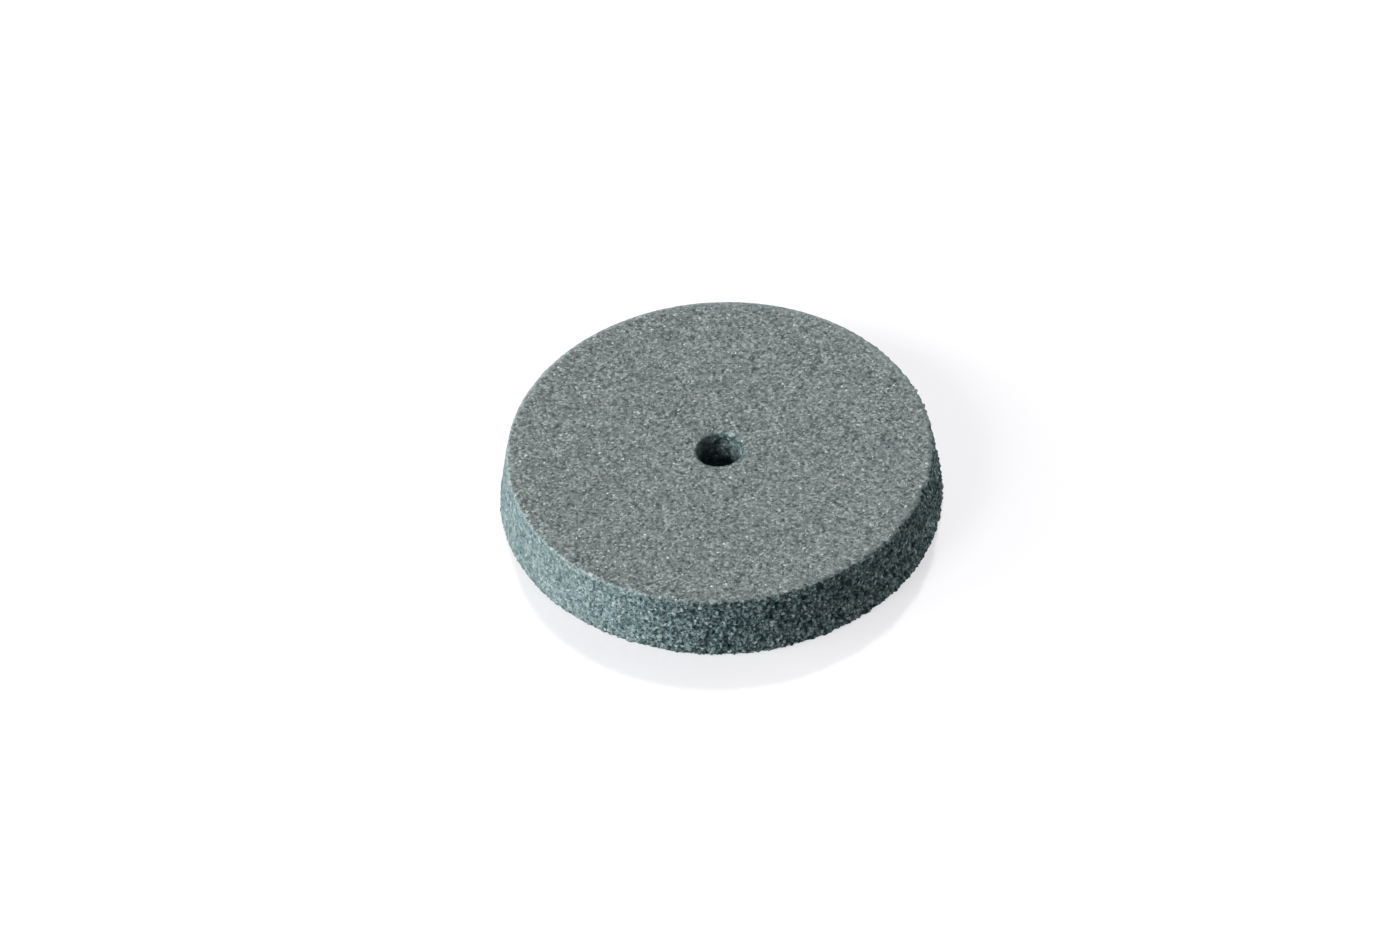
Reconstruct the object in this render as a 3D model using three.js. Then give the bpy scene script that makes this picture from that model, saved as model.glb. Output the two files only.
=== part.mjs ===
// Small unmounted grinding wheel: one pressed and fired disc of grit with a plain round bore.
// Millimetres, +Z up. The wheel lies on its wide face, and +Z is the axis that it spins on.
import * as THREE from 'three';

// Driving dimensions
const WIDE_DIAMETER = 22.0; // across the lower face
const NARROW_DIAMETER = 21.0; // across the upper face: the rim keeps the draft of its pressing die
const THICKNESS = 3.1;
const BORE_DIAMETER = 2.2;
const RIM_EDGE_RADIUS = 0.12; // worn corner between a face and the rim
const BORE_EDGE_RADIUS = 0.06; // worn corner at each mouth of the bore
const EDGE_STEPS = 3; // straight pieces in each worn corner
const TURN_STEPS = 96; // straight pieces in one turn of the wheel

// The bonded abrasive: mineral grit held in a fired bond, dull all over.
const BONDED_ABRASIVE = new THREE.MeshStandardMaterial({
  color: 0x768282,
  roughness: 0.9,
  metalness: 0.0,
});

// Points of an arc that rounds the corner of a profile, tangent to both of its straight sides.
function roundedCorner(previous, corner, next, radius) {
  const toPrevious = previous.clone().sub(corner).normalize();
  const toNext = next.clone().sub(corner).normalize();
  const halfAngle = Math.acos(toPrevious.dot(toNext)) / 2;
  const bisector = toPrevious.clone().add(toNext).normalize();
  const centre = corner.clone().addScaledVector(bisector, radius / Math.sin(halfAngle));
  const cutBack = radius / Math.tan(halfAngle);
  const first = corner.clone().addScaledVector(toPrevious, cutBack).sub(centre);
  const sweep = Math.PI - 2 * halfAngle;
  const points = [];
  for (let step = 0; step <= EDGE_STEPS; step += 1) {
    const turned = first.clone().rotateAround(new THREE.Vector2(), (sweep * step) / EDGE_STEPS);
    points.push(turned.add(centre));
  }
  return points;
}

// Half section of the wheel, as (radius, height): up the rim, in over the face, down the bore.
function wheelSection() {
  const boreRadius = BORE_DIAMETER / 2;
  const corners = [
    { at: new THREE.Vector2(WIDE_DIAMETER / 2, 0), radius: RIM_EDGE_RADIUS },
    { at: new THREE.Vector2(NARROW_DIAMETER / 2, THICKNESS), radius: RIM_EDGE_RADIUS },
    { at: new THREE.Vector2(boreRadius, THICKNESS), radius: BORE_EDGE_RADIUS },
    { at: new THREE.Vector2(boreRadius, 0), radius: BORE_EDGE_RADIUS },
  ];
  const section = corners.flatMap((corner, index) => {
    const previous = corners[(index + corners.length - 1) % corners.length].at;
    const next = corners[(index + 1) % corners.length].at;
    return roundedCorner(previous, corner.at, next, corner.radius);
  });
  section.push(section[0].clone());
  return section;
}

// The wheel's body: its section turned about +Z, closed on itself round the bore.
function abrasiveWheel() {
  const geometry = new THREE.LatheGeometry(wheelSection(), TURN_STEPS);
  geometry.rotateX(Math.PI / 2);
  const mesh = new THREE.Mesh(geometry, BONDED_ABRASIVE);
  mesh.name = 'abrasive_wheel';
  return mesh;
}

const wheel = new THREE.Group();
wheel.add(abrasiveWheel());

export default wheel;
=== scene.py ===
"""Looks of a small unmounted grinding wheel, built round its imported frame.

The wheel is one body of bonded grit. Its surface is a dense closed mesh laid over the frame's own
section, ring by ring, and pushed in and out by grain facets: shallow on the two pressed faces,
deep on the rim and in the bore, where whole grains stand out.
"""

import math

import bpy
import numpy as np
from mathutils import Matrix, Vector, noise


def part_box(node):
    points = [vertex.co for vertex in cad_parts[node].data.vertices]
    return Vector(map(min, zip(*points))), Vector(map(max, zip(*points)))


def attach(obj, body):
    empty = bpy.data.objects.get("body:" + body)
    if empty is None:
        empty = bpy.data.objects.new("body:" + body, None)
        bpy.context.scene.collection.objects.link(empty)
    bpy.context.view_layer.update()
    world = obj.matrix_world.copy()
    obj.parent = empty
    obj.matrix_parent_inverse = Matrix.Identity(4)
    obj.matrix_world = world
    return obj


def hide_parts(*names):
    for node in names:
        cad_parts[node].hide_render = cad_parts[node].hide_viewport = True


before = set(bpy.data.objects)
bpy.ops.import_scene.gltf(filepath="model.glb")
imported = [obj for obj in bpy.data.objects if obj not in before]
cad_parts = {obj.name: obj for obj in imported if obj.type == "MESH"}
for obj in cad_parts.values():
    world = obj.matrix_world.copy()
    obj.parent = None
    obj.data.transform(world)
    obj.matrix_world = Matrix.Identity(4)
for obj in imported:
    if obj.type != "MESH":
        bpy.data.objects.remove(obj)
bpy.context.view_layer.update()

MM = 0.001
RANDOM = np.random.default_rng(22)

# Sizes are in millimetres where nothing else is said. A pair is the two ends of a soft step.
# Directions round the wheel are in degrees anticlockwise from +X.

# Mesh fineness: the distance between neighbouring vertices.
UPPER_SPACING = 0.125
LOWER_SPACING = 0.165
RIM_SPACING = 0.061
BORE_SPACING = 0.065
JITTER = 0.26  # share of the spacing that a vertex is moved about by
FEWEST_IN_RING = 24
SECTION_SAMPLES = 20001
CORNER_TURN = 0.07  # reach over which the outward direction turns at a corner

# Where a zone of the wheel begins, measured out from the bore's wall.
BORE_ZONE = 0.3
RIM_ZONE = 1.0

# How level the surface is where these begin and are whole: 0 on the bore's wall, 1 on a face.
FACE_LEVEL = (0.80, 0.97)
UPPER_CORNER_LEVEL = (0.25, 0.50)
LIP_LEVEL = (0.15, 0.45)
FOOT_LEVEL = (0.20, 0.50)

# Grains, and how far their facets stand out or sink in.
RIM_GRAIN = 0.19
FINE_GRAIN = 0.104
RIM_FACET_HEIGHT = 0.088
RIM_FINE_HEIGHT = 0.026
RIM_CLUMP = 0.30
RIM_CLUMP_HEIGHT = 0.060
RIM_GROOVE_DEPTH = 0.022
RIM_PORE_DEPTH = 0.130
RIM_PROUD_HEIGHT = 0.052
RIM_SET_BACK = 0.030  # keeps the outermost grains at the frame's own surface
FACE_FACET_HEIGHT = 0.011
FACE_HIGHEST = 0.006
FACE_PORE_DEPTH = 0.035
FACET_STEP = 1.2  # how much whole facets differ in height, as a share of their relief
FACET_TILT = 1.6

# A grain is a pore or stands proud by its own random number, from 0 to 1.
RIM_PORES = (0.84, 0.93)
RIM_PROUD = (0.10, 0.04)
FACE_PORES = (0.86, 0.96)
BRIGHT_TONE = 0.85

# Nearness to a grain's border, as a share of its size.
GRAIN_INSIDE = (0.0, 0.30)
GRAIN_GROOVE = (0.0, 0.28)

# The grit is open and coarse on one side of the rim and close on the other.
OPEN_SIDE = -35.0
CLOSE_RELIEF = 0.42
CLOSE_PORES = 0.30
BORE_OPENNESS = 0.7  # of the bore's wall under its worn mouth
SIDE_SPREAD = (-0.1, 0.9)  # cosine of the angle off the middle of a side

# The bore's upper mouth is worn into a shallow funnel on one side.
FUNNEL_SIDE = 40.0
FUNNEL_REACH = 0.45  # out over the face
FUNNEL_DOWN = 0.5  # down the wall
FUNNEL_DEPTH = 0.13
FUNNEL_ROUGHENS = 0.9  # how much of the pressed skin it wears away

# The upper lip of the rim spreads a little on one side.
LIP_SIDE = 32.0
LIP_WIDTH = 0.04
LIP_REACH = 0.60
RIM_BAND = (-1.1, -0.5)  # from the outermost radius

# The upper edges are chipped where soft noise, raised by a share, is above 0.
CHIP_SIZE = 0.9
CHIP_DEPTH = 0.030
CHIP_SHARE = 0.15
NICK_SIZE = 0.33
NICK_DEPTH = 0.060
NICK_SHARE = 0.05
EDGE_LEVEL = 0.70  # in the middle of an edge
EDGE_WIDTH = 0.35
CLOSE_CHIPS = 0.25  # share of the chips on the close side
CRISP = 0.8  # how much of the relief the upper edge loses away from the open side

# The lower corner stands a little proud of its rounding, rougher on the close side.
FOOT_SPREAD = 0.050
FOOT_ROUGHNESS = 0.6

# The foot of the rim stands further out over a stretch of the open side.
FOOT_SIDE = -62.0
FOOT_STRETCH = (0.55, 0.95)  # cosine of the angle off the middle of the stretch
FOOT_REACH = 1.3
FOOT_WIDTH = 0.10

# Painted shade: how dark a hollow is painted, by openness, and what a pore and a groove add to it.
CLOSE_PAINTED_SHADE = 0.35
OPEN_PAINTED_SHADE = 1.80
PORE_PAINTED_SHADE = 0.9
GROOVE_PAINTED_SHADE = 0.75
FACE_PORE_PAINTED_SHADE = 0.8
DEEPEST_PAINTED_SHADE = 1.15
OPEN_TONE = 0.5  # extra tone of proud and bright grains on the open side

# Painted shade in the bore. It gets darker with depth, less so on the open wall under its worn mouth.
OPEN_WALL_DOWN = 1.5
BORE_PAINTED_SHADE_AT_TOP = 0.60
BORE_PAINTED_SHADE_BELOW = 0.62
BORE_PAINTED_SHADE_DEPTH = (0.4, 1.5)
FUNNEL_DULLS = 0.4

# Painted light on that open wall: its grains are painted pale or dark by their tone, a number from 0 to
# 1.
LIT_DEPTH = (0.05, 0.40)
LIT_CLEARS = 0.35  # how much of a hollow's dark the wall loses
PALE_GRAIN = 2.6
PALE_START = 0.40
PALEST = 1.33
PALE_IN_PAINTED_SHADE = 0.5
DARK_GRAIN = 1.4
DARK_START = 0.5

# A painted highlight on the upper corner where it is crisp, and most of all at the back.
CORNER_HIGHLIGHT_BAND = (-0.78, -0.60)  # from the outermost radius
CORNER_HIGHLIGHT_BACK = (0.0, 0.6)  # sine of the direction
BACK_CORNER_HIGHLIGHT = 0.60
CRISP_CORNER_HIGHLIGHT = 0.5
LIP_FADES = 0.7  # how much of the spread lip's lightness is lost on the pressed face

# Where the noise of each kind of relief is read, and two seeds for a grain's own random numbers.
COARSE_PLACE = 7.3
FINE_PLACE = 31.9
CLUMP_PLACE = 61.3
CHIP_PLACE = 4.1
NICK_PLACE = 11.7
CHANCE_SEED = 91.7
TILT_SEED = 53.3

# The finest grains exist in the material only. Shares are of the mix that each is part of.
FINEST_GRAIN = 0.098
SMALL_GRAIN_SHARE = 0.45
RIM_BUMP = 1.16
FACE_BUMP = 0.42
ROUGHNESS = (0.55, 0.85)
GLINT_FROM = 0.993
GLINT_ROUGHNESS = 0.18
# A painted highlight: a few crystals are painted the glint colour, by the shares below.
PAINTED_GLINT_COLOUR = (0.55, 0.62, 0.62, 1.0)
RIM_PAINTED_GLINT = 0.30
FACE_PAINTED_GLINT = 0.50

# Colours, all linear. A ramp's stops are (place from 0 to 1, colour).
FACE_COLOURS = [
    (0.0, (0.088, 0.109, 0.107)),
    (0.30, (0.132, 0.157, 0.154)),
    (0.75, (0.173, 0.199, 0.196)),
    (1.0, (0.258, 0.285, 0.280)),
]
RIM_COLOURS = [
    (0.0, (0.047, 0.083, 0.088)),
    (0.35, (0.094, 0.138, 0.142)),
    (0.70, (0.158, 0.199, 0.201)),
    (1.0, (0.250, 0.302, 0.305)),
]
PATCH_SIZE = 0.8
PATCH_DETAIL = 3.0
PATCH_COLOURS = [(0.3, (0.90, 0.90, 0.90)), (0.7, (1.0, 1.0, 1.0))]
HUE_SIZE = 0.45
HUE_COLOURS = [(0.35, (1.04, 1.0, 0.95)), (0.65, (0.96, 1.0, 1.05))]
RIM_HUE = 0.55
FACE_HUE = 0.35
# Painted shade in pores, grooves and the bore.
PAINTED_SHADE_COLOUR = (0.010, 0.027, 0.030, 1.0)
PAINTED_SHADE_SHARE = 0.76
# A pale lip, with a painted highlight on the upper corner and painted light on the bore's open wall.
PALE_LIP_AND_LIGHT_COLOUR = (0.258, 0.328, 0.332, 1.0)
PALE_LIP_AND_LIGHT_SHARE = 0.75

# The studio: walls by the height that they are seen at, a bright panel, and one warmer light.
WALL_PALE = (0.80, 0.80, 0.81)
WALL_PALE_TOP = 0.06
WALL_DIM = (0.18, 0.18, 0.18)
WALL_DIM_FROM = 0.16
PANEL_TOWARD = (0.0, 0.707, 0.707)
PANEL_EDGE = (0.90, 0.95)  # cosine of the angle off the panel's middle
PANEL_COLOUR = (1.5, 1.5, 1.52, 1.0)
WARM = (1.0, 0.95, 0.90)

FLOOR_HALF = 1.5  # metres
FLOOR_GAP = 0.00002  # metres, so that the lower face and the floor do not coincide

# Camera, as a long lens from above one side. Lengths are in metres and angles in degrees.
CAMERA_ELEVATION = 45.1
CAMERA_ROLL = 2.85
CAMERA_DISTANCE = 0.440
FIELD_WIDTH = 0.0690
AIM_RIGHT = -0.00094
AIM_UP = -0.00085
SENSOR_WIDTH = 36.0  # millimetres
CLIP = (0.01, 10.0)


# ---------------------------------------------------------------- the wheel's section

def frame_section(node):
    """The wheel's half section from its frame mesh: (radius, height) in mm, anticlockwise."""
    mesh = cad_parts[node].data
    points = {
        (round(math.hypot(v.co.x, v.co.y) / MM, 3), round(v.co.z / MM, 3)) for v in mesh.vertices
    }
    points = np.array(sorted(points))
    middle = (points.min(axis=0) + points.max(axis=0)) / 2
    around = np.arctan2(points[:, 1] - middle[1], points[:, 0] - middle[0])
    return points[np.argsort(around)]


class Section:
    """A closed section that can be read at any distance along it."""

    def __init__(self, corners):
        loop = np.vstack([corners, corners[:1]])
        self.along = np.concatenate([[0.0], np.cumsum(np.hypot(*np.diff(loop, axis=0).T))])
        self.loop = loop
        self.length = self.along[-1]
        self.thickness = corners[:, 1].max()
        self.bore_radius = corners[:, 0].min()
        self.wide_radius = corners[:, 0].max()

    def at(self, distance):
        d = np.mod(distance, self.length)
        radius = np.interp(d, self.along, self.loop[:, 0])
        height = np.interp(d, self.along, self.loop[:, 1])
        return np.stack([radius, height], axis=-1)

    def normal(self, distance):
        """Outward direction, averaged over a short reach so that it turns smoothly at corners."""
        step = self.at(distance + CORNER_TURN) - self.at(distance - CORNER_TURN)
        out = np.stack([step[..., 1], -step[..., 0]], axis=-1)
        return out / np.linalg.norm(out, axis=-1, keepdims=True)

    def spacing(self, distance):
        """Wanted distance between vertices at a place on the section."""
        out = self.normal(distance)
        radius = self.at(distance)[..., 0]
        rim_side = radius > (self.bore_radius + self.wide_radius) / 2
        wall = np.where(rim_side, RIM_SPACING, BORE_SPACING)
        face = np.where(out[..., 1] > 0, UPPER_SPACING, LOWER_SPACING)
        flatness = np.abs(out[..., 1]) ** 4
        return wall * (1 - flatness) + face * flatness

    def ring_places(self):
        """Distances along the section at which rings of vertices are laid."""
        fine = np.linspace(0.0, self.length, SECTION_SAMPLES)
        rings = np.concatenate([[0.0], np.cumsum(np.diff(fine) / self.spacing(fine[:-1]))])
        count = int(round(rings[-1]))
        return np.interp(np.arange(count) * rings[-1] / count, rings, fine)


# ---------------------------------------------------------------- closed mesh of rings

def stitch(first, first_angles, second, second_angles):
    """Triangles that join two rings, each a run of vertex numbers with rising angles."""
    triangles = []
    i = j = 0
    while i < len(first) or j < len(second):
        next_i = first_angles[i + 1] if i < len(first) else math.inf
        next_j = second_angles[j + 1] if j < len(second) else math.inf
        a = first[i % len(first)]
        b = second[j % len(second)]
        if next_i <= next_j:
            triangles.append((a, first[(i + 1) % len(first)], b))
            i += 1
        else:
            triangles.append((a, second[(j + 1) % len(second)], b))
            j += 1
    return triangles


def ring_mesh(section):
    """Jittered rings round the whole section. Returns places on it, angles and triangles."""
    places, angles, rings, ring_angles = [], [], [], []
    start = 0
    for place in section.ring_places():
        spacing = float(section.spacing(np.array(place)))
        radius = section.at(place)[0]
        count = max(FEWEST_IN_RING, int(round(2 * math.pi * radius / spacing)))
        shift = RANDOM.uniform(-JITTER, JITTER, (2, count))
        turn = (np.arange(count) + RANDOM.random() + shift[0]) * (2 * math.pi / count)
        places.append(place + shift[1] * spacing)
        angles.append(turn)
        rings.append(np.arange(start, start + count))
        ring_angles.append(np.append(turn, turn[0] + 2 * math.pi))
        start += count
    triangles = []
    for k in range(len(rings)):
        m = (k + 1) % len(rings)
        triangles += stitch(rings[k], ring_angles[k], rings[m], ring_angles[m])
    return np.concatenate(places), np.concatenate(angles), triangles


# ---------------------------------------------------------------- grain relief

def facets(points, size, offset):
    """Tilted flat facets, one per grain. Returns height, nearness to a grain's border, a tone
    and a second random number per grain, all per point."""
    height, border, tone, chance = (np.empty(len(points)) for _ in range(4))
    for n, point in enumerate(points / size + offset):
        distances, centres = noise.voronoi(Vector(point))
        random = noise.cell_vector(centres[0] * CHANCE_SEED)
        tilt = Vector(noise.cell_vector(centres[0] * TILT_SEED)) - Vector((0.5, 0.5, 0.5))
        slope = tilt.dot(Vector(point) - centres[0])
        height[n] = (random.x - 0.5) * FACET_STEP + slope * FACET_TILT
        border[n] = distances[1] - distances[0]
        tone[n] = random.y
        chance[n] = random.z
    return height, border, tone, chance


def smooth_step(low, high, value):
    t = np.clip((value - low) / (high - low), 0.0, 1.0)
    return t * t * (3 - 2 * t)


def soft_noise(points, size, offset):
    return np.array([noise.noise(Vector(p)) for p in points / size + offset])


def side(angle, middle):
    """1 on one side of the wheel, round the middle angle in degrees, and 0 on the far side."""
    return smooth_step(*SIDE_SPREAD, np.cos(angle - math.radians(middle)))


class Surface:
    """The smooth wheel point by point, and what part of the wheel each point is on."""

    def __init__(self, section):
        place, self.angle, self.triangles = ring_mesh(section)
        base = section.at(place)
        out = section.normal(place)
        turn = np.stack([np.cos(self.angle), np.sin(self.angle)], axis=1)
        self.section = section
        self.points = np.column_stack([turn * base[:, :1], base[:, 1]])
        self.outward = np.column_stack([turn * out[:, :1], out[:, 1]])
        self.level = out[:, 1]
        self.past_bore = base[:, 0] - section.bore_radius
        self.past_rim = base[:, 0] - section.wide_radius
        self.depth = section.thickness - base[:, 1]

        # The rest are from 0 to 1. The skin is the two pressed faces.
        self.funnel = self.funnel_wear()
        skin = smooth_step(*FACE_LEVEL, np.abs(self.level))
        self.skin = skin * (1 - FUNNEL_ROUGHENS * np.sqrt(self.funnel))
        self.in_hole = self.past_bore < BORE_ZONE
        self.at_rim = self.past_bore > RIM_ZONE
        self.open_side = side(self.angle, OPEN_SIDE)
        open_bore = BORE_OPENNESS * side(self.angle, FUNNEL_SIDE)
        self.openness = np.where(self.in_hole, open_bore, self.open_side)
        self.upper_corner = smooth_step(*UPPER_CORNER_LEVEL, self.level) * self.at_rim
        self.crisp = self.upper_corner * (1 - self.skin) * (1 - self.open_side)
        self.foot = smooth_step(*FOOT_LEVEL, -self.level) * self.at_rim * (1 - self.skin)

    def funnel_wear(self):
        """How far into the funnel rubbed out of the bore's mouth each point is."""
        slope = (1 - np.clip(self.past_bore / FUNNEL_REACH, 0, 1)) ** 2
        return side(self.angle, FUNNEL_SIDE) * slope * np.exp(-(self.depth / FUNNEL_DOWN) ** 2)


def grit_relief(surface):
    """How far the grains stand out at each point, how much painted shade it gets in pores and grooves,
    and its tone.
    """
    coarse, border, tone, chance = facets(surface.points, RIM_GRAIN, COARSE_PLACE)
    fine, _, _, fine_chance = facets(surface.points, FINE_GRAIN, FINE_PLACE)
    clump = soft_noise(surface.points, RIM_CLUMP, CLUMP_PLACE)
    inside = smooth_step(*GRAIN_INSIDE, border)
    groove = 1 - smooth_step(*GRAIN_GROOVE, border)
    pore = smooth_step(*RIM_PORES, chance) * inside
    proud = smooth_step(*RIM_PROUD, chance) * inside
    face_pore = smooth_step(*FACE_PORES, fine_chance)
    openness, skin = surface.openness, surface.skin

    height = CLOSE_RELIEF + (1 - CLOSE_RELIEF) * openness
    depth = CLOSE_PORES + (1 - CLOSE_PORES) * openness
    rim = (
        height * (coarse * RIM_FACET_HEIGHT + fine * RIM_FINE_HEIGHT + clump * RIM_CLUMP_HEIGHT)
        + openness**2 * proud * RIM_PROUD_HEIGHT
        - depth * (pore * RIM_PORE_DEPTH + groove * RIM_GROOVE_DEPTH) - RIM_SET_BACK
    )
    face = np.minimum(fine * FACE_FACET_HEIGHT, FACE_HIGHEST) - face_pore * FACE_PORE_DEPTH

    # Painted shade in pores and grooves, stronger on the open side, and in the face's pores.
    rim_painted_shade = (CLOSE_PAINTED_SHADE + OPEN_PAINTED_SHADE * openness) * (PORE_PAINTED_SHADE * pore + GROOVE_PAINTED_SHADE * groove)
    painted_shade = (1 - skin) * rim_painted_shade + skin * FACE_PORE_PAINTED_SHADE * face_pore
    tone = tone + openness * OPEN_TONE * (proud + inside * (tone > BRIGHT_TONE))
    return rim * (1 - skin) + face * skin, np.clip(painted_shade, 0, DEEPEST_PAINTED_SHADE), tone


def chipping(surface):
    """Depth of the chips along the upper edges. The lower edges spread a little instead."""
    chip = np.clip(soft_noise(surface.points, CHIP_SIZE, CHIP_PLACE) + CHIP_SHARE, 0, 1)
    nick = np.clip(soft_noise(surface.points, NICK_SIZE, NICK_PLACE) + NICK_SHARE, 0, 1)
    off_edge = np.abs(np.abs(surface.level) - EDGE_LEVEL)
    near_edge = 1 - smooth_step(0.0, EDGE_WIDTH, off_edge)
    amount = CLOSE_CHIPS + (1 - CLOSE_CHIPS) * surface.open_side
    depth = amount * (CHIP_DEPTH * chip + NICK_DEPTH * nick)
    return near_edge * np.where(surface.level < 0, -FOOT_SPREAD, depth)


def rim_spread(points, angle, section):
    """Moves the rim's upper lip and its foot out on one side. Also says how much at the lip."""
    radius = np.hypot(points[:, 0], points[:, 1])
    depth = section.thickness - points[:, 2]
    in_band = smooth_step(*RIM_BAND, radius - section.wide_radius)
    lip = in_band * side(angle, LIP_SIDE) * np.exp(-(depth / LIP_REACH) ** 2)
    foot = smooth_step(*FOOT_STRETCH, np.cos(angle - math.radians(FOOT_SIDE)))
    foot *= in_band * (1 - smooth_step(0.0, FOOT_REACH, points[:, 2]))
    moved = radius + lip * LIP_WIDTH + foot * FOOT_WIDTH
    return np.column_stack([points[:, :2] * (moved / radius)[:, None], points[:, 2]]), lip


def painted_corner_highlight(surface):
    """How strong the painted highlight on the upper corner is."""
    band = smooth_step(*CORNER_HIGHLIGHT_BAND, surface.past_rim)
    back = surface.upper_corner * band * smooth_step(*CORNER_HIGHLIGHT_BACK, np.sin(surface.angle))
    return np.maximum(BACK_CORNER_HIGHLIGHT * back, CRISP_CORNER_HIGHLIGHT * (1 - surface.skin) * surface.crisp)


def paint(surface, lip, painted_shade, tone):
    """What the material reads at each point: pressed skin, painted shade, tone, and a pale lip with
    painted highlights and painted light.
    """
    in_bore = (1 - surface.skin) * surface.in_hole
    open_wall = side(surface.angle, FUNNEL_SIDE) * np.exp(-(surface.depth / OPEN_WALL_DOWN) ** 4)
    # Painted shade in the bore, darker with depth and less on the open wall.
    bore_painted_shade = BORE_PAINTED_SHADE_AT_TOP + BORE_PAINTED_SHADE_BELOW * smooth_step(*BORE_PAINTED_SHADE_DEPTH, surface.depth)
    painted_shade = np.maximum(painted_shade, in_bore * bore_painted_shade * (1 - open_wall))
    tone = tone * (1 - FUNNEL_DULLS * surface.funnel)

    # Paler along the spread lip, and a painted highlight on the upper corner.
    edge = smooth_step(*LIP_LEVEL, surface.level) * (1 - LIP_FADES * surface.skin)
    pale_lip_and_painted_light = surface.at_rim * np.maximum(lip * edge, painted_corner_highlight(surface))

    # Painted light on the bore's open wall: pale grains, and dark ones added to the painted shade.
    lit = in_bore * open_wall * smooth_step(*LIT_DEPTH, surface.depth)
    pale = np.clip(PALE_GRAIN * tone - PALE_START, 0, PALEST)
    pale_lip_and_painted_light = np.maximum(pale_lip_and_painted_light, lit * pale * (1 - PALE_IN_PAINTED_SHADE * painted_shade))
    dark = np.clip(DARK_START - DARK_GRAIN * tone, 0, 1)
    painted_shade = painted_shade * (1 - LIT_CLEARS * lit) + in_bore * open_wall * dark
    return {"skin": surface.skin, "painted_shade": painted_shade, "tone": tone, "pale_lip_and_painted_light": pale_lip_and_painted_light}


def build_wheel():
    surface = Surface(Section(frame_section("abrasive_wheel")))
    relief, painted_shade, tone = grit_relief(surface)
    relief *= 1 - CRISP * surface.crisp + surface.foot * (FOOT_ROUGHNESS - surface.openness)
    relief -= chipping(surface)
    points = surface.points + surface.outward * relief[:, None]
    points, lip = rim_spread(points, surface.angle, surface.section)
    points[:, 2] = np.maximum(points[:, 2] - FUNNEL_DEPTH * surface.funnel, 0.0)

    mesh = bpy.data.meshes.new("bonded_wheel")
    mesh.from_pydata((points * MM).tolist(), [], surface.triangles)
    mesh.update()
    for name, values in paint(surface, lip, painted_shade, tone).items():
        attribute = mesh.attributes.new(name, "FLOAT", "POINT")
        attribute.data.foreach_set("value", values.astype(np.float32))
    mesh.shade_smooth()
    wheel = bpy.data.objects.new("bonded_wheel", mesh)
    bpy.context.collection.objects.link(wheel)
    return wheel


# ---------------------------------------------------------------- materials

class Nodes:
    """Short forms for adding and joining shader nodes."""

    def __init__(self, owner):
        owner.use_nodes = True
        self.tree = owner.node_tree
        self.tree.nodes.clear()

    def add(self, kind, inputs=None, **settings):
        node = self.tree.nodes.new(kind)
        for name, value in settings.items():
            setattr(node, name, value)
        for name, value in (inputs or {}).items():
            self.put(node.inputs[name], value)
        return node

    def put(self, socket, value):
        if isinstance(value, bpy.types.NodeSocket):
            self.tree.links.new(value, socket)
        else:
            socket.default_value = value

    def math(self, operation, a, b):
        node = self.add("ShaderNodeMath", operation=operation)
        self.put(node.inputs[0], a)
        self.put(node.inputs[1], b)
        return node.outputs[0]

    def vector(self, operation, a, b):
        node = self.add("ShaderNodeVectorMath", operation=operation)
        self.put(node.inputs[0], a)
        self.put(node.inputs[1], b)
        return node.outputs["Value" if operation == "DOT_PRODUCT" else "Vector"]

    def mix(self, factor, a, b, blend="MIX"):
        node = self.add("ShaderNodeMix", data_type="RGBA", blend_type=blend)
        self.put(node.inputs[0], factor)
        self.put(node.inputs[6], a)
        self.put(node.inputs[7], b)
        return node.outputs[2]

    def mix_value(self, factor, a, b):
        node = self.add("ShaderNodeMix", data_type="FLOAT")
        self.put(node.inputs[0], factor)
        self.put(node.inputs[2], a)
        self.put(node.inputs[3], b)
        return node.outputs[0]

    def ramp(self, value, stops):
        node = self.add("ShaderNodeValToRGB")
        ramp = node.color_ramp
        while len(ramp.elements) < len(stops):
            ramp.elements.new(0.5)
        for element, (position, colour) in zip(ramp.elements, stops):
            element.position = position
            element.color = (*colour, 1.0)
        self.put(node.inputs[0], value)
        return node.outputs[0]

    def noise(self, place, size, detail=2.0):
        inputs = {"Vector": place, "Scale": 1 / (size * MM), "Detail": detail}
        return self.add("ShaderNodeTexNoise", inputs).outputs[0]

    def attribute(self, name):
        return self.add("ShaderNodeAttribute", attribute_name=name).outputs["Fac"]

    def finish(self, kind, shader):
        output = self.add(kind)
        self.tree.links.new(shader.outputs[0], output.inputs[0])


def grit_colour(n, place, small):
    """Colour of the cut grains: paler on the faces, with painted shade in hollows, and lightest at the
    pale lip and where highlights and light are painted.
    """
    skin = n.attribute("skin")
    rim_tone = n.mix_value(SMALL_GRAIN_SHARE, n.attribute("tone"), small.outputs[0])
    colour = n.mix(skin, n.ramp(rim_tone, RIM_COLOURS), n.ramp(small.outputs[0], FACE_COLOURS))
    patches = n.ramp(n.noise(place, PATCH_SIZE, PATCH_DETAIL), PATCH_COLOURS)
    colour = n.mix(1.0, colour, patches, "MULTIPLY")
    hue = n.ramp(n.noise(place, HUE_SIZE), HUE_COLOURS)
    colour = n.mix(n.mix_value(skin, RIM_HUE, FACE_HUE), colour, hue, "MULTIPLY")
    # Painted shade in hollows and in the bore.
    colour = n.mix(n.math("MULTIPLY", n.attribute("painted_shade"), PAINTED_SHADE_SHARE), colour, PAINTED_SHADE_COLOUR)
    # Pale lip, painted highlight on the upper corner and painted light in the bore.
    return n.mix(n.math("MULTIPLY", n.attribute("pale_lip_and_painted_light"), PALE_LIP_AND_LIGHT_SHARE), colour, PALE_LIP_AND_LIGHT_COLOUR)


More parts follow.
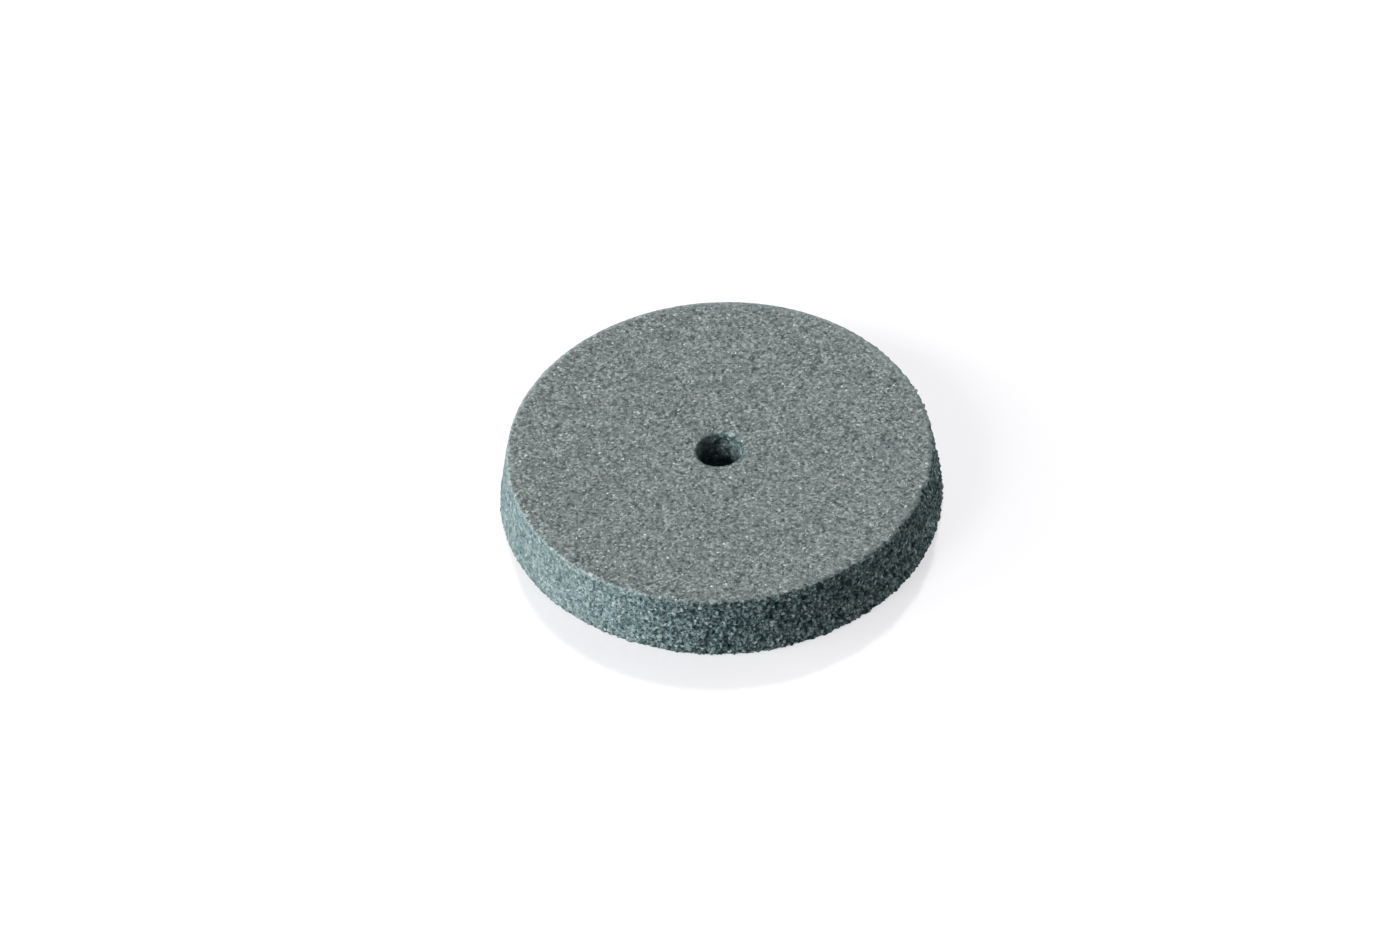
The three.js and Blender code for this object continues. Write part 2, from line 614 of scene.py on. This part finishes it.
def bonded_abrasive():
    """Grey-green bonded grit: cut grains, pores, and crystals with a painted glint."""
    material = bpy.data.materials.new("bonded_abrasive")
    n = Nodes(material)
    place = n.add("ShaderNodeTexCoord").outputs["Object"]
    skin = n.attribute("skin")
    fine = n.add("ShaderNodeTexVoronoi", {"Vector": place, "Scale": 1 / (FINEST_GRAIN * MM)})
    small = n.add("ShaderNodeSeparateColor", {"Color": fine.outputs["Color"]})

    colour = grit_colour(n, place, small)
    # A few crystals get a painted glint, a painted highlight; they are also smoother.
    glint = n.math("GREATER_THAN", small.outputs[1], GLINT_FROM)
    painted_glint = n.math("MULTIPLY", glint, n.mix_value(skin, RIM_PAINTED_GLINT, FACE_PAINTED_GLINT))
    colour = n.mix(painted_glint, colour, PAINTED_GLINT_COLOUR)
    roughness = n.mix_value(small.outputs[2], *ROUGHNESS)
    roughness = n.mix_value(glint, roughness, GLINT_ROUGHNESS)

    # Each of the finest grains is a flat facet with a tilt of its own.
    off_centre = n.vector("SUBTRACT", place, fine.outputs["Position"])
    tilt = n.vector("SUBTRACT", fine.outputs["Color"], (0.5, 0.5, 0.5))
    facet = n.vector("DOT_PRODUCT", off_centre, tilt)
    height = n.math("MULTIPLY", facet, n.mix_value(skin, RIM_BUMP, FACE_BUMP))
    bump = n.add("ShaderNodeBump", {"Strength": 1.0, "Distance": 1.0, "Height": height})

    shader = n.add(
        "ShaderNodeBsdfPrincipled",
        {"Base Color": colour, "Roughness": roughness, "Normal": bump.outputs[0],
         "IOR": 1.5, "Specular IOR Level": 0.02},
    )
    n.finish("ShaderNodeOutputMaterial", shader)
    return material


def white_table():
    """Pale floor with the faint gloss of white acrylic."""
    material = bpy.data.materials.new("white_table")
    n = Nodes(material)
    shader = n.add(
        "ShaderNodeBsdfPrincipled",
        {"Base Color": (0.22, 0.22, 0.225, 1.0), "Roughness": 0.12, "IOR": 2.0,
         "Emission Color": (0.975, 0.975, 1.0, 1.0), "Emission Strength": 0.605},
    )
    n.finish("ShaderNodeOutputMaterial", shader)
    return material


# ---------------------------------------------------------------- stage

def add_floor(height):
    mesh = bpy.data.meshes.new("table")
    half = FLOOR_HALF
    corners = [(-half, -half), (half, -half), (half, half), (-half, half)]
    mesh.from_pydata([(x, y, height) for x, y in corners], [], [(0, 1, 2, 3)])
    mesh.materials.append(white_table())
    floor = bpy.data.objects.new("table", mesh)
    bpy.context.collection.objects.link(floor)


def add_sun(name, azimuth, elevation, angle, strength, colour=(1.0, 1.0, 1.0)):
    """A far, soft light. Azimuth is where it shines from, anticlockwise from +X."""
    light = bpy.data.lights.new(name, "SUN")
    light.energy = strength * math.pi
    light.color = colour
    light.angle = math.radians(angle)
    sun = bpy.data.objects.new(name, light)
    a, e = math.radians(azimuth), math.radians(elevation)
    toward = Vector((math.cos(a) * math.cos(e), math.sin(a) * math.cos(e), math.sin(e)))
    sun.rotation_mode = "QUATERNION"
    sun.rotation_quaternion = toward.to_track_quat("Z", "Y")
    sun.location = toward * 0.5
    bpy.context.collection.objects.link(sun)


def add_studio_walls():
    """A studio that is pale near the floor and dim overhead, with a bright panel at the back."""
    world = bpy.data.worlds.new("studio")
    n = Nodes(world)
    toward = n.add("ShaderNodeTexCoord").outputs["Generated"]
    rise = n.add("ShaderNodeSeparateXYZ", {"Vector": toward}).outputs["Z"]
    walls = n.ramp(
        rise, [(0.0, WALL_PALE), (WALL_PALE_TOP, WALL_PALE), (WALL_DIM_FROM, WALL_DIM), (1.0, WALL_DIM)]
    )
    panel = n.add("ShaderNodeMapRange", interpolation_type="SMOOTHSTEP")
    n.put(panel.inputs["Value"], n.vector("DOT_PRODUCT", toward, PANEL_TOWARD))
    n.put(panel.inputs["From Min"], PANEL_EDGE[0])
    n.put(panel.inputs["From Max"], PANEL_EDGE[1])
    walls = n.mix(panel.outputs["Result"], walls, PANEL_COLOUR)
    n.finish("ShaderNodeOutputWorld", n.add("ShaderNodeBackground", {"Color": walls}))
    bpy.context.scene.world = world


def add_lights():
    add_sun("low_left", azimuth=184.0, elevation=12.0, angle=34.0, strength=1.98)
    add_sun("high_left", azimuth=212.0, elevation=36.0, angle=24.0, strength=0.92)
    add_sun("back_right", azimuth=20.0, elevation=25.0, angle=50.0, strength=0.62, colour=WARM)


def add_camera(target):
    data = bpy.data.cameras.new("camera")
    data.sensor_width = SENSOR_WIDTH
    data.lens = data.sensor_width * CAMERA_DISTANCE / FIELD_WIDTH
    data.clip_start, data.clip_end = CLIP
    camera = bpy.data.objects.new("camera", data)
    elevation = math.radians(CAMERA_ELEVATION)
    back = Vector((0.0, -math.cos(elevation), math.sin(elevation)))
    turn = back.to_track_quat("Z", "Y").to_matrix()
    turn = turn @ Matrix.Rotation(math.radians(-CAMERA_ROLL), 3, "Z")
    right, up = turn.col[0], turn.col[1]
    aim = target + right * AIM_RIGHT + up * AIM_UP
    camera.matrix_world = Matrix.Translation(aim + back * CAMERA_DISTANCE) @ turn.to_4x4()
    bpy.context.collection.objects.link(camera)
    bpy.context.scene.camera = camera


# ---------------------------------------------------------------- the scene

low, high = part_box("abrasive_wheel")
add_camera(Vector((0.0, 0.0, high[2])))
add_studio_walls()
add_lights()
add_floor(low[2] - FLOOR_GAP)

wheel = build_wheel()
wheel.data.materials.append(bonded_abrasive())
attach(wheel, "root")
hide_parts("abrasive_wheel")

bpy.context.scene.view_settings.view_transform = "Standard"
